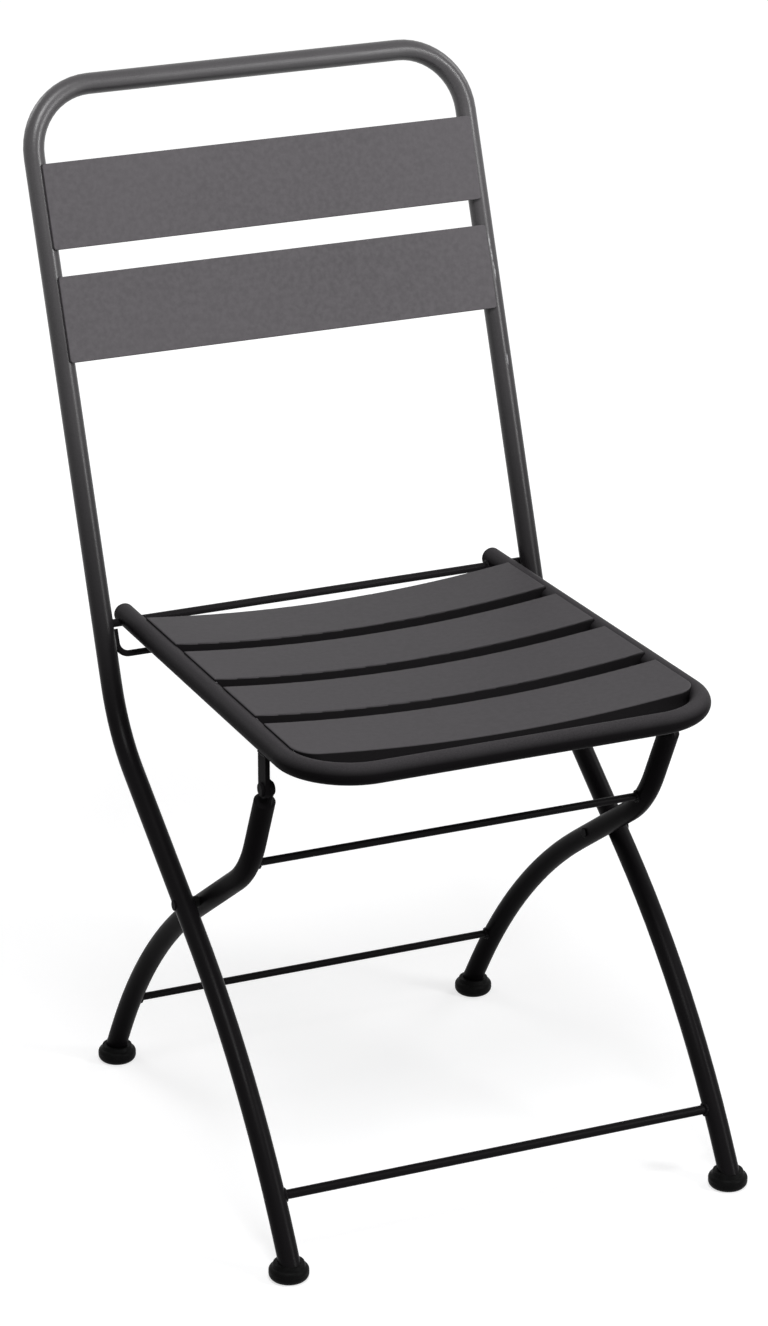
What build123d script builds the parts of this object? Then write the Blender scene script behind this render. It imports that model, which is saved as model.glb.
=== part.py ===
from build123d import *
import math
import os

# Metal folding chair. Millimetres, +Z up, the sitter faces -Y, the floor is Z = 0.
# Places in the side view (names ending in _y) are measured backwards from the front feet.

# Tubes and rods
tube_diameter = 18.0
tube_wall = 1.5
front_stretcher_diameter = 8.0
rear_stretcher_diameter = 6.5
slide_rod_diameter = 7.0
brace_bar_diameter = 5.5
slide_stop_diameter = 6.0

# Back frame: one bent tube that makes both front legs and the hoop of the back
back_half_width = 200.0
back_lean = 20.2
back_y = 387.0
top_rail_height = 856.4
hoop_radius = 57.0
front_leg_slope = 35.7
front_foot_slope = 59.0
front_foot_bend = 690.0
back_bend = 130.0

# Where each leg stands in its foot
leg_end_height = 8.5
ankle_height = 16.0

# Cross pivot between the front legs and the rear legs
cross_pivot_y = 214.0
cross_pivot_height = 244.0
cross_rivet_diameter = 7.0
cross_head_diameter = 9.0
cross_head_height = 0.7
spacer_diameter = 10.0

# Rear legs: two S-shaped tubes, flattened at the top
rear_foot_y = 442.0
rear_leg_gap = 8.0
rear_leg_splay = 7.2
rear_leg_slope = 33.6
rear_leg_run = 109.0
rear_foot_slope = 57.0
rear_foot_bend = 650.0
rear_top_bend = 120.0
tongue_thickness = 3.2
tongue_width = 15.0
tongue_length = 8.5
flattening_length = 6.0

# Seat frame: one bent tube, open at the rear
rail_height = 430.5
front_rail_y = -9.0
rail_side_gap = 9.5
rail_spread = 9.5
rail_end_overhang = 7.8
seat_corner_radius = 56.0
cap_dome_height = 3.6
cap_plug_gap = 0.8

# Seat pivot: lugs under the seat rails, riveted to the tongues of the rear legs
seat_pivot_y = 80.0
seat_pivot_drop = 37.5
lug_offset = 4.0
lug_thickness = 4.0
lug_width = 15.0
seat_rivet_diameter = 7.0
seat_head_diameter = 12.0
seat_head_height = 2.0

# Slats: pressed sheet
sheet_thickness = 2.0
back_slat_height = 72.8
back_slat_gap = 22.6
back_slat_end_inset = 2.0
back_slat_corner = 2.5
top_rail_to_slat = 63.9
back_slat_edge = 0.8
seat_slat_depth = 70.5
seat_slat_gap = 18.0
front_slat_depth = 74.0
front_slat_corner = 18.0
seat_slat_rear_y = 366.5
seat_slat_sag = 10.5
seat_slat_lip = 9.0
seat_slat_end_inset = 4.5
seat_slat_edge = 1.2

# Stretchers along the legs
front_stretcher_height = 60.0
rear_lower_stretcher_height = 75.5
rear_upper_stretcher_height = 311.0

# Rod that slides behind the back tubes, the studs it rests on, and the brace between the back tubes
slide_rod_overhang = 3.0
slide_rod_drop = 4.0
slide_rod_edge = 0.8
slide_stop_length = 8.0
brace_bar_drop = 26.0
brace_bar_behind = 3.8
brace_bar_bend = 10.0
brace_bar_end = 22.0

# Feet
foot_wall = 3.7
foot_shoulder = 1.3
foot_bulge = 2.5
foot_sole_inset = 4.0
foot_height = 15.0
foot_belly_height = 7.0
foot_rim_height = 12.0

# Clearances
seat_fit = 0.12
running_fit = 0.05
moving_gap = 0.3

# Sizes that follow from the ones above
tube_radius = tube_diameter / 2
foot_top_diameter = tube_diameter + 2 * foot_wall
foot_rim_diameter = foot_top_diameter + 2 * foot_shoulder
foot_diameter = foot_rim_diameter + 2 * foot_bulge
foot_sole_diameter = foot_diameter - 2 * foot_sole_inset
rear_foot_half_width = back_half_width - tube_diameter - rear_leg_gap
rear_top_half_width = rear_foot_half_width + rear_leg_splay
rail_rear_half_width = back_half_width - tube_diameter - rail_side_gap
rail_front_half_width = rail_rear_half_width + rail_spread
back_slat_half_length = back_half_width - back_slat_end_inset
slide_rod_half_length = back_half_width + slide_rod_overhang
lean_sine = math.sin(math.radians(back_lean))
lean_cosine = math.cos(math.radians(back_lean))
lean_tangent = lean_sine / lean_cosine
top_rail_y = back_y + (top_rail_height - rail_height) * lean_tangent
front_most_y = min(-foot_diameter / 2, front_rail_y - tube_radius)
middle_y = (top_rail_y + tube_radius + front_most_y) / 2
seat_pivot_height = rail_height - seat_pivot_drop
sides = (("left", -1), ("right", 1))


def rise(angle):
    """Rise of a sloping line for each millimetre of depth."""
    return math.tan(math.radians(angle))


def fitting_bend(radius, turn, room):
    """Bend radius that still leaves a little of the straight run beside the bend."""
    return min(radius, 0.96 * room / abs(math.tan(math.radians(turn) / 2)))


def side_plane(x):
    """Side-view plane at x: local x runs backwards from the front feet, local y runs up."""
    return Plane(origin=(x, -middle_y, 0), x_dir=(0, 1, 0), z_dir=(1, 0, 0))


def level_plane(height):
    """Top-view plane at a height, with local y measured from the front feet."""
    return Plane(origin=(0, -middle_y, height))


def cut_tube(path, radius):
    """Takes the space of a round bar along a path out of the part being built."""
    with BuildSketch(Plane(origin=path @ 0, z_dir=path % 0)) as space:
        Circle(radius)
    sweep(sections=space.sketch, path=path, mode=Mode.SUBTRACT)


def cut_across(y, height, radius):
    """Drills a hole along X through the part being built."""
    with BuildSketch(side_plane(0)) as bore:
        with Locations((y, height)):
            Circle(radius)
    extrude(bore.sketch, amount=2 * back_half_width, both=True, mode=Mode.SUBTRACT)


def point_at_height(path, end, height):
    """Point of a rising path at a height, looked for between its start and a later place."""
    low = 0.0
    high = end
    for step in range(40):
        middle = (low + high) / 2
        if (path @ middle).Z < height:
            low = middle
        else:
            high = middle
    return path @ low


# Side view of the back frame: foot line, leg line through the cross pivot, back line
front_end_y = (leg_end_height - ankle_height) / rise(front_foot_slope)
front_low_y = (cross_pivot_height - ankle_height - rise(front_leg_slope) * cross_pivot_y) / (
    rise(front_foot_slope) - rise(front_leg_slope)
)
front_low_height = ankle_height + rise(front_foot_slope) * front_low_y
leg_line_zero = cross_pivot_height - rise(front_leg_slope) * cross_pivot_y
bend_y = (back_y + lean_tangent * (leg_line_zero - rail_height)) / (1 - lean_tangent * rise(front_leg_slope))
bend_height = leg_line_zero + rise(front_leg_slope) * bend_y
front_foot_run = math.hypot(front_low_y - front_end_y, front_low_height - leg_end_height)
front_foot_arc = fitting_bend(front_foot_bend, front_foot_slope - front_leg_slope, front_foot_run)
front_side = (
    (front_end_y, leg_end_height),
    (front_low_y, front_low_height),
    (bend_y, bend_height),
    (top_rail_y, top_rail_height),
)

with BuildLine() as frame_line:
    FilletPolyline(
        *[Vector(-back_half_width, y - middle_y, z) for y, z in front_side],
        *[Vector(back_half_width, y - middle_y, z) for y, z in reversed(front_side)],
        radius=(front_foot_arc, back_bend, hoop_radius, hoop_radius, back_bend, front_foot_arc),
    )
frame_path = frame_line.wires()[0]

# Side view of the rear legs: foot line, leg line through the cross pivot, top line to the seat pivot
rear_line_zero = cross_pivot_height + rise(rear_leg_slope) * cross_pivot_y
rear_end_y = rear_foot_y + (ankle_height - leg_end_height) / rise(rear_foot_slope)
rear_low_y = (rear_line_zero - ankle_height - rise(rear_foot_slope) * rear_foot_y) / (
    rise(rear_leg_slope) - rise(rear_foot_slope)
)
rear_low_height = rear_line_zero - rise(rear_leg_slope) * rear_low_y
rear_high_y = cross_pivot_y - rear_leg_run * math.cos(math.radians(rear_leg_slope))
rear_high_height = cross_pivot_height + rear_leg_run * math.sin(math.radians(rear_leg_slope))
top_line = math.hypot(rear_high_y - seat_pivot_y, seat_pivot_height - rear_high_height)
top_cosine = (rear_high_y - seat_pivot_y) / top_line
top_sine = (seat_pivot_height - rear_high_height) / top_line
rear_top_slope = math.degrees(math.atan2(top_sine, top_cosine))
tube_end_back = tongue_length + flattening_length
tube_end_y = seat_pivot_y + tube_end_back * top_cosine
tube_end_height = seat_pivot_height - tube_end_back * top_sine
rear_foot_run = math.hypot(rear_end_y - rear_low_y, rear_low_height - leg_end_height)
rear_top_run = top_line - tube_end_back
rear_middle_run = math.hypot(rear_low_y - rear_high_y, rear_high_height - rear_low_height)
rear_foot_room = min(rear_foot_run, 0.7 * rear_middle_run)
rear_top_room = min(rear_top_run, 0.3 * rear_middle_run)
rear_foot_arc = fitting_bend(rear_foot_bend, rear_foot_slope - rear_leg_slope, rear_foot_room)
rear_top_arc = fitting_bend(rear_top_bend, rear_top_slope - rear_leg_slope, rear_top_room)
rear_side = (
    (rear_end_y, leg_end_height),
    (rear_low_y, rear_low_height),
    (rear_high_y, rear_high_height),
    (tube_end_y, tube_end_height),
)
splay = (rear_top_half_width - rear_foot_half_width) / (seat_pivot_height - leg_end_height)


def rear_half_width(height):
    """Distance of a rear leg's centre line from the middle at a height."""
    return rear_foot_half_width + splay * (height - leg_end_height)


rear_paths = {}
for side_name, side in sides:
    with BuildLine() as rear_line:
        FilletPolyline(
            *[Vector(side * rear_half_width(z), y - middle_y, z) for y, z in rear_side],
            radius=(rear_foot_arc, rear_top_arc),
        )
    rear_paths[side_name] = rear_line.wires()[0]

# The slide rod lies behind the back tubes, a little below the middle of the seat rails
slide_rod_height = rail_height - slide_rod_drop
slide_rod_behind = tube_radius + slide_rod_diameter / 2 + moving_gap
slide_rod_y = back_y - slide_rod_drop * lean_tangent + slide_rod_behind / lean_cosine
slide_rod_lift = slide_rod_behind * lean_tangent - slide_rod_drop / lean_cosine

# Top view of the seat frame, whose rails end a little behind the slide rod
rail_rear_y = slide_rod_y + rail_end_overhang
cap_plug_length = rail_end_overhang - slide_rod_diameter / 2 - cap_plug_gap
rail_taper = (rail_front_half_width - rail_rear_half_width) / (rail_rear_y - front_rail_y)


def rail_half_width(y):
    """Distance of a side rail's centre line from the middle at a depth."""
    return rail_front_half_width - rail_taper * (y - front_rail_y)


with BuildLine(level_plane(rail_height)) as seat_line:
    FilletPolyline(
        (-rail_rear_half_width, rail_rear_y),
        (-rail_front_half_width, front_rail_y),
        (rail_front_half_width, front_rail_y),
        (rail_rear_half_width, rail_rear_y),
        radius=seat_corner_radius,
    )
seat_path = seat_line.wires()[0]

os.makedirs("parts", exist_ok=True)

# Back frame tube
with BuildPart() as back_frame_tube:
    with BuildSketch(Plane(origin=frame_path @ 0, z_dir=frame_path % 0)):
        Circle(tube_radius)
        Circle(tube_radius - tube_wall, mode=Mode.SUBTRACT)
    sweep(path=frame_path)
    cut_across(cross_pivot_y, cross_pivot_height, cross_rivet_diameter / 2 + running_fit)
back_frame_tube.part.label = "back_frame_tube"
export_step(back_frame_tube.part, "parts/back_frame_tube.step")

# Back slats on the front of the back tubes
back_plane = Plane(
    origin=(0, top_rail_y - middle_y, top_rail_height),
    x_dir=(1, 0, 0),
    z_dir=(0, -lean_cosine, lean_sine),
)
upper_slat_middle = -top_rail_to_slat - back_slat_height / 2
lower_slat_middle = upper_slat_middle - back_slat_height - back_slat_gap
for slat_name, slat_middle in (("upper", upper_slat_middle), ("lower", lower_slat_middle)):
    with BuildPart() as back_slat:
        with BuildSketch(back_plane.offset(tube_radius + seat_fit)):
            with Locations((0, slat_middle)):
                RectangleRounded(2 * back_slat_half_length, back_slat_height, back_slat_corner)
        extrude(amount=sheet_thickness)
        front_face = back_slat.faces().sort_by(Axis((0, 0, 0), back_plane.z_dir))[-1]
        fillet(front_face.edges(), back_slat_edge)
    back_slat.part.label = f"{slat_name}_back_slat"
    export_step(back_slat.part, f"parts/{slat_name}_back_slat.step")

# Brace bar between the back tubes, its ends turned up along them
brace_plane = back_plane.offset(-brace_bar_behind)
brace_reach = tube_radius + brace_bar_diameter / 2 + seat_fit
brace_half_width = back_half_width - math.sqrt(brace_reach**2 - brace_bar_behind**2)
brace_low = (rail_height - brace_bar_drop - brace_plane.origin.Z) / lean_cosine
with BuildPart() as back_brace_bar:
    with BuildLine(brace_plane) as brace_line:
        FilletPolyline(
            (-brace_half_width, brace_low + brace_bar_end),
            (-brace_half_width, brace_low),
            (brace_half_width, brace_low),
            (brace_half_width, brace_low + brace_bar_end),
            radius=brace_bar_bend,
        )
    brace_path = brace_line.wires()[0]
    with BuildSketch(Plane(origin=brace_path @ 0, z_dir=brace_path % 0)):
        Circle(brace_bar_diameter / 2)
    sweep(path=brace_path)
back_brace_bar.part.label = "back_brace_bar"
export_step(back_brace_bar.part, "parts/back_brace_bar.step")

# Front stretcher between the front legs
front_stretcher_place = point_at_height(frame_path, 0.4, front_stretcher_height)
with BuildPart() as front_stretcher:
    with BuildSketch(Plane.YZ):
        with Locations((front_stretcher_place.Y, front_stretcher_height)):
            Circle(front_stretcher_diameter / 2)
    extrude(amount=back_half_width, both=True)
    cut_tube(frame_path, tube_radius + seat_fit)
front_stretcher.part.label = "front_stretcher"
export_step(front_stretcher.part, "parts/front_stretcher.step")

# Rear stretchers between the rear legs
for place_name, place_height in (
    ("lower", rear_lower_stretcher_height),
    ("upper", rear_upper_stretcher_height),
):
    rear_stretcher_place = point_at_height(rear_paths["left"], 1.0, place_height)
    with BuildPart() as rear_stretcher:
        with BuildSketch(Plane.YZ):
            with Locations((rear_stretcher_place.Y, place_height)):
                Circle(rear_stretcher_diameter / 2)
        extrude(amount=rear_half_width(place_height), both=True)
        cut_tube(rear_paths["left"], tube_radius + seat_fit)
        cut_tube(rear_paths["right"], tube_radius + seat_fit)
    rear_stretcher.part.label = f"rear_{place_name}_stretcher"
    export_step(rear_stretcher.part, f"parts/rear_{place_name}_stretcher.step")

# Seat frame tube, with holes for the slide rod
with BuildPart() as seat_frame_tube:
    with BuildSketch(Plane(origin=seat_path @ 0, z_dir=seat_path % 0)):
        Circle(tube_radius)
        Circle(tube_radius - tube_wall, mode=Mode.SUBTRACT)
    sweep(path=seat_path)
    cut_across(slide_rod_y, slide_rod_height, slide_rod_diameter / 2 + seat_fit)
seat_frame_tube.part.label = "seat_frame_tube"
export_step(seat_frame_tube.part, "parts/seat_frame_tube.step")

# Slide rod
with BuildPart() as rear_slide_rod:
    with BuildSketch(side_plane(0)):
        with Locations((slide_rod_y, slide_rod_height)):
            Circle(slide_rod_diameter / 2)
    extrude(amount=slide_rod_half_length, both=True)
    chamfer(rear_slide_rod.edges().filter_by(GeomType.CIRCLE), slide_rod_edge)
rear_slide_rod.part.label = "rear_slide_rod"
export_step(rear_slide_rod.part, "parts/rear_slide_rod.step")

# Seat slats: dished pressings with turned-down edges, coped over the side rails
slat_rise = math.sqrt((tube_radius + seat_fit) ** 2 - seat_slat_end_inset**2) + sheet_thickness
slat_names = ("rear_seat_slat", "rear_middle_seat_slat", "front_middle_seat_slat", "front_seat_slat")
slat_rear = seat_slat_rear_y
for slat_name in slat_names:
    is_front = slat_name == "front_seat_slat"
    slat_depth = front_slat_depth if is_front else seat_slat_depth
    slat_front = slat_rear - slat_depth
    end_half = rail_half_width((slat_rear + slat_front) / 2) - seat_slat_end_inset
    dish_radius = (end_half**2 + seat_slat_sag**2) / (2 * seat_slat_sag)
    dish_low = rail_height + slat_rise - seat_slat_sag
    wide_half = rail_front_half_width + tube_radius
    dish_edge = dish_low + dish_radius - math.sqrt(dish_radius**2 - wide_half**2)
    outline = (
        (-rail_half_width(slat_rear) + seat_slat_end_inset, slat_rear),
        (-rail_half_width(slat_front) + seat_slat_end_inset, slat_front),
        (rail_half_width(slat_front) - seat_slat_end_inset, slat_front),
        (rail_half_width(slat_rear) - seat_slat_end_inset, slat_rear),
    )
    section_plane = Plane(origin=(0, slat_rear - middle_y, 0), x_dir=(1, 0, 0), z_dir=(0, -1, 0))
    with BuildPart() as seat_slat:
        with BuildSketch(section_plane):
            with BuildLine():
                ThreePointArc((-wide_half, dish_edge), (0, dish_low), (wide_half, dish_edge))
                Line((wide_half, dish_edge), (wide_half, dish_low - seat_slat_lip))
                Line((wide_half, dish_low - seat_slat_lip), (-wide_half, dish_low - seat_slat_lip))
                Line((-wide_half, dish_low - seat_slat_lip), (-wide_half, dish_edge))
            make_face()
        extrude(amount=slat_depth)
        with BuildSketch(level_plane(0)) as planform:
            Polygon(*outline, align=None)
            if is_front:
                fillet(planform.vertices().group_by(Axis.Y)[0], front_slat_corner)
        extrude(amount=top_rail_height, mode=Mode.INTERSECT)
        top_face = seat_slat.faces().filter_by(GeomType.CYLINDER).sort_by(SortBy.AREA)[-1]
        fillet(top_face.edges(), seat_slat_edge)
        with BuildSketch(section_plane) as hollow_section:
            with BuildLine():
                ThreePointArc(
                    (-wide_half, dish_edge - sheet_thickness),
                    (0, dish_low - sheet_thickness),
                    (wide_half, dish_edge - sheet_thickness),
                )
                Line((wide_half, dish_edge - sheet_thickness), (wide_half, dish_low - 2 * seat_slat_lip))
                Line((wide_half, dish_low - 2 * seat_slat_lip), (-wide_half, dish_low - 2 * seat_slat_lip))
                Line((-wide_half, dish_low - 2 * seat_slat_lip), (-wide_half, dish_edge - sheet_thickness))
            make_face()
        hollow = extrude(hollow_section.sketch, amount=slat_depth, mode=Mode.PRIVATE)
        inside = offset(planform.sketch, amount=-sheet_thickness, mode=Mode.PRIVATE)
        hollow_part = hollow & extrude(inside, amount=top_rail_height, mode=Mode.PRIVATE)
        add(hollow_part, mode=Mode.SUBTRACT)
        cut_tube(seat_path, tube_radius + seat_fit)
    seat_slat.part.label = slat_name
    export_step(seat_slat.part, f"parts/{slat_name}.step")
    slat_rear = slat_front - seat_slat_gap

# Parts in pairs
lug_inner = rail_half_width(seat_pivot_y) + lug_offset - lug_thickness / 2
lug_outer = lug_inner + lug_thickness
tongue_outer = lug_inner - moving_gap
tongue_inner = tongue_outer - tongue_thickness
rear_cross_x = rear_half_width(cross_pivot_height)
spacer_inner = rear_cross_x + tube_radius + moving_gap
cross_head_inner = rear_cross_x - tube_radius - moving_gap
for side_name, side in sides:
    rear_path = rear_paths[side_name]

    # Rear leg, its top flattened into a tongue with the seat pivot's eye
    with BuildPart() as rear_leg:
        with BuildSketch(Plane(origin=rear_path @ 0, z_dir=rear_path % 0)):
            Circle(tube_radius)
            Circle(tube_radius - tube_wall, mode=Mode.SUBTRACT)
        sweep(path=rear_path)
        with BuildSketch(Plane(origin=rear_path @ 1, x_dir=(1, 0, 0), z_dir=rear_path % 1)):
            Circle(tube_radius)
        tongue_start = Plane(
            origin=(
                side * (tongue_inner + tongue_outer) / 2,
                seat_pivot_y + tongue_length * top_cosine - middle_y,
                seat_pivot_height - tongue_length * top_sine,
            ),
            x_dir=(1, 0, 0),
            z_dir=(0, -top_cosine, top_sine),
        )
        with BuildSketch(tongue_start):
            RectangleRounded(tongue_thickness, tongue_width, tongue_thickness * 0.3)
        loft()
        with BuildSketch(tongue_start):
            RectangleRounded(tongue_thickness, tongue_width, tongue_thickness * 0.3)
        extrude(amount=tongue_length)
        with BuildSketch(side_plane(side * tongue_inner)):
            with Locations((seat_pivot_y, seat_pivot_height)):
                Circle(tongue_width / 2)
        extrude(amount=side * tongue_thickness)
        cut_across(seat_pivot_y, seat_pivot_height, seat_rivet_diameter / 2 + running_fit)
        cut_across(cross_pivot_y, cross_pivot_height, cross_rivet_diameter / 2 + running_fit)
    rear_leg.part.label = f"rear_leg_{side_name}"
    export_step(rear_leg.part, f"parts/rear_leg_{side_name}.step")

    # Seat lug under the side rail
    with BuildPart() as seat_lug:
        with BuildSketch(side_plane(side * lug_inner)):
            with Locations((seat_pivot_y, seat_pivot_height)):
                Circle(lug_width / 2)
                Rectangle(lug_width, seat_pivot_drop, align=(Align.CENTER, Align.MIN))
        extrude(amount=side * lug_thickness)
        cut_across(seat_pivot_y, seat_pivot_height, seat_rivet_diameter / 2 + running_fit)
        cut_tube(seat_path, tube_radius + seat_fit)
    seat_lug.part.label = f"seat_lug_{side_name}"
    export_step(seat_lug.part, f"parts/seat_lug_{side_name}.step")

    # Seat pivot rivet through the lug and the tongue
    with BuildPart() as seat_pivot:
        with BuildSketch(side_plane(side * (tongue_inner - moving_gap))):
            with Locations((seat_pivot_y, seat_pivot_height)):
                Circle(seat_rivet_diameter / 2)
        extrude(amount=side * (lug_outer - tongue_inner + moving_gap))
        for head_x, head_way in ((lug_outer + seat_fit / 2, side), (tongue_inner - moving_gap, -side)):
            with BuildSketch(side_plane(side * head_x)):
                with Locations((seat_pivot_y, seat_pivot_height)):
                    Circle(seat_head_diameter / 2)
            extrude(amount=head_way * seat_head_height)
        with BuildSketch(side_plane(side * lug_outer)):
            with Locations((seat_pivot_y, seat_pivot_height)):
                Circle(seat_rivet_diameter / 2)
        extrude(amount=side * seat_head_height)
        head_edges = seat_pivot.edges().filter_by(GeomType.CIRCLE).sort_by(Axis.X)
        fillet([head_edges[0], head_edges[-1]], seat_head_height * 0.7)
    seat_pivot.part.label = f"seat_pivot_{side_name}"
    export_step(seat_pivot.part, f"parts/seat_pivot_{side_name}.step")

    # Cross pivot rivet, held in the front leg
    with BuildPart() as cross_pivot:
        with BuildSketch(side_plane(side * cross_head_inner)):
            with Locations((cross_pivot_y, cross_pivot_height)):
                Circle(cross_rivet_diameter / 2)
        extrude(amount=side * (back_half_width - cross_head_inner))
        with BuildSketch(side_plane(side * cross_head_inner)):
            with Locations((cross_pivot_y, cross_pivot_height)):
                Circle(cross_head_diameter / 2)
        extrude(amount=-side * cross_head_height)
        with BuildSketch(side_plane(side * back_half_width)):
            with Locations((cross_pivot_y, cross_pivot_height)):
                Circle(cross_head_diameter / 2)
        extrude(amount=side * (tube_radius + cross_head_height))
        head_edges = cross_pivot.edges().filter_by(GeomType.CIRCLE).sort_by(Axis.X)
        fillet([head_edges[0], head_edges[-1]], cross_head_height * 0.7)
        cut_tube(frame_path, tube_radius + seat_fit)
        with BuildSketch(side_plane(side * cross_head_inner)):
            with Locations((cross_pivot_y, cross_pivot_height)):
                Circle(cross_rivet_diameter / 2)
        extrude(amount=side * (back_half_width + tube_radius + cross_head_height / 2 - cross_head_inner))
    cross_pivot.part.label = f"cross_pivot_{side_name}"
    export_step(cross_pivot.part, f"parts/cross_pivot_{side_name}.step")

    # Spacer between the crossing legs
    with BuildPart() as cross_spacer:
        with BuildSketch(side_plane(side * spacer_inner)):
            with Locations((cross_pivot_y, cross_pivot_height)):
                Circle(spacer_diameter / 2)
                Circle(cross_rivet_diameter / 2 + running_fit, mode=Mode.SUBTRACT)
        extrude(amount=side * (back_half_width - spacer_inner))
        cut_tube(frame_path, tube_radius + seat_fit)
    cross_spacer.part.label = f"cross_spacer_{side_name}"
    export_step(cross_spacer.part, f"parts/cross_spacer_{side_name}.step")

    # End cap in the rear end of the side rail
    rail_end = Plane(
        origin=(side * rail_rear_half_width, rail_rear_y - middle_y, rail_height),
        x_dir=(0, 0, 1),
        z_dir=(-side * rail_taper, 1, 0),
    )
    with BuildPart() as rail_end_cap:
        with BuildSketch(rail_end.offset(seat_fit)):
            Circle(tube_radius)
        extrude(amount=cap_dome_height)
        fillet(rail_end_cap.edges().sort_by(Axis.Y)[-1], cap_dome_height * 0.85)
        with BuildSketch(rail_end.offset(seat_fit)):
            Circle(tube_radius - tube_wall - seat_fit)
        extrude(amount=-cap_plug_length)
    rail_end_cap.part.label = f"rail_end_cap_{side_name}"
    export_step(rail_end_cap.part, f"parts/rail_end_cap_{side_name}.step")

    # Stud behind the back tube that the slide rod rests on
    stop_along = slide_rod_lift - (slide_rod_diameter + slide_stop_diameter) / 2 - seat_fit
    stop_plane = Plane(
        origin=(
            side * back_half_width,
            back_y + stop_along * lean_sine - middle_y,
            rail_height + stop_along * lean_cosine,
        ),
        x_dir=(1, 0, 0),
        z_dir=(0, lean_cosine, -lean_sine),
    )
    with BuildPart() as slide_stop:
        with BuildSketch(stop_plane):
            Circle(slide_stop_diameter / 2)
        extrude(amount=tube_radius + slide_stop_length)
        cut_tube(frame_path, tube_radius + seat_fit)
    slide_stop.part.label = f"slide_stop_{side_name}"
    export_step(slide_stop.part, f"parts/slide_stop_{side_name}.step")

    # Feet: squat round caps that the legs are pushed into
    front_start = Vector(side * back_half_width, front_end_y - middle_y, leg_end_height)
    front_way = Vector(0, math.cos(math.radians(front_foot_slope)), math.sin(math.radians(front_foot_slope)))
    for foot_name, foot_x, foot_y, leg_start, leg_way in (
        ("front", back_half_width, 0.0, front_start, front_way),
        ("rear", rear_foot_half_width, rear_foot_y, rear_path @ 0, rear_path % 0),
    ):
        foot_middle = Vector(side * foot_x, foot_y - middle_y, 0)
        sole = foot_sole_diameter / 2
        belly = foot_diameter / 2
        rim = foot_rim_diameter / 2
        bulge = math.sqrt(0.5)
        upper_height = foot_rim_height - foot_belly_height
        with BuildPart() as foot:
            with BuildSketch(Plane(origin=foot_middle, x_dir=(1, 0, 0), z_dir=(0, -1, 0))):
                with BuildLine():
                    Line((0, 0), (sole, 0))
                    ThreePointArc(
                        (sole, 0),
                        (sole + (belly - sole) * bulge, foot_belly_height * (1 - bulge)),
                        (belly, foot_belly_height),
                    )
                    ThreePointArc(
                        (belly, foot_belly_height),
                        (rim + (belly - rim) * bulge, foot_belly_height + upper_height * bulge),
                        (rim, foot_rim_height),
                    )
                    Line((rim, foot_rim_height), (foot_top_diameter / 2, foot_height))
                    Line((foot_top_diameter / 2, foot_height), (0, foot_height))
                    Line((0, foot_height), (0, 0))
                make_face()
            revolve(axis=Axis(foot_middle, (0, 0, 1)))
            with BuildSketch(Plane(origin=leg_start - leg_way * seat_fit, z_dir=leg_way)):
                Circle(tube_radius + seat_fit)
            extrude(amount=3 * foot_height, mode=Mode.SUBTRACT)
        foot.part.label = f"{foot_name}_foot_{side_name}"
        export_step(foot.part, f"parts/{foot_name}_foot_{side_name}.step")
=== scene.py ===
import math

import bmesh
import bpy
from bpy.props import FloatProperty, FloatVectorProperty, PointerProperty
from bpy.types import Operator, Panel, PropertyGroup
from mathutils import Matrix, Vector


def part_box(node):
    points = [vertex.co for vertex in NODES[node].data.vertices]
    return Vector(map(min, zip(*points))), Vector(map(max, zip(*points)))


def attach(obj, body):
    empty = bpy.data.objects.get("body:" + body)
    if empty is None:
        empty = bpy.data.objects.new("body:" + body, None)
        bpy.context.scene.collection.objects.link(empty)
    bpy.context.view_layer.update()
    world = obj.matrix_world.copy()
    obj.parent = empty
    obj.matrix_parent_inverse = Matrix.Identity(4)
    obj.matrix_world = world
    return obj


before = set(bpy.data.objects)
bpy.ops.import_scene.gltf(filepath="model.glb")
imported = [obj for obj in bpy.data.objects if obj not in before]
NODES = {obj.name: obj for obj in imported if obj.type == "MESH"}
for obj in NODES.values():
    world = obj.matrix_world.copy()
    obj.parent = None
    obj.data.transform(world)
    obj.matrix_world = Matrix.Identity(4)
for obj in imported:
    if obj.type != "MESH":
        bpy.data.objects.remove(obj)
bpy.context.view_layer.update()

bl_info = {
    "name": "Metal folding chair",
    "version": (1, 0, 0),
    "blender": (4, 5, 0),
    "location": "View3D > Sidebar > Chair",
    "description": "Finishes, weld beads, floor, light and camera for a slatted metal folding chair",
    "category": "Object",
}

SIDES = (("left", -1), ("right", 1))

# Places on the chair in metres, measured back from the front feet as in the part's drawing
MIDDLE_Y = 0.26735
TUBE_RADIUS = 0.009
BACK_HALF_WIDTH = 0.200
BACK_LEAN = math.radians(20.2)
BACK_Y = 0.387
RAIL_HEIGHT = 0.4305
REAR_FOOT_HALF_WIDTH = 0.174
REAR_SPLAY = 0.0072 / 0.3845
LEG_END_HEIGHT = 0.0085
RAIL_HALF_WIDTH_AT_ROD = 0.17268
RAIL_HALF_WIDTH_AT_LUG = 0.17997
SLIDE_ROD_RADIUS = 0.0035
BRACE_BEHIND = 0.0038
BRACE_TO_TUBE_MIDDLE = 0.01187
BRACE_BEAD_LENGTH = 0.010
ACROSS = Vector((1.0, 0.0, 0.0))
ALONG_BACK = Vector((0.0, math.sin(BACK_LEAN), math.cos(BACK_LEAN)))
OUT_OF_BACK = Vector((0.0, -math.cos(BACK_LEAN), math.sin(BACK_LEAN)))
BEAD_SIDES = 10
RING_POINTS = 48
SEAM_POINTS = 24
# Share of a bead's radius that it stands off the rod
BEAD_LIFT = 0.35
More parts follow.
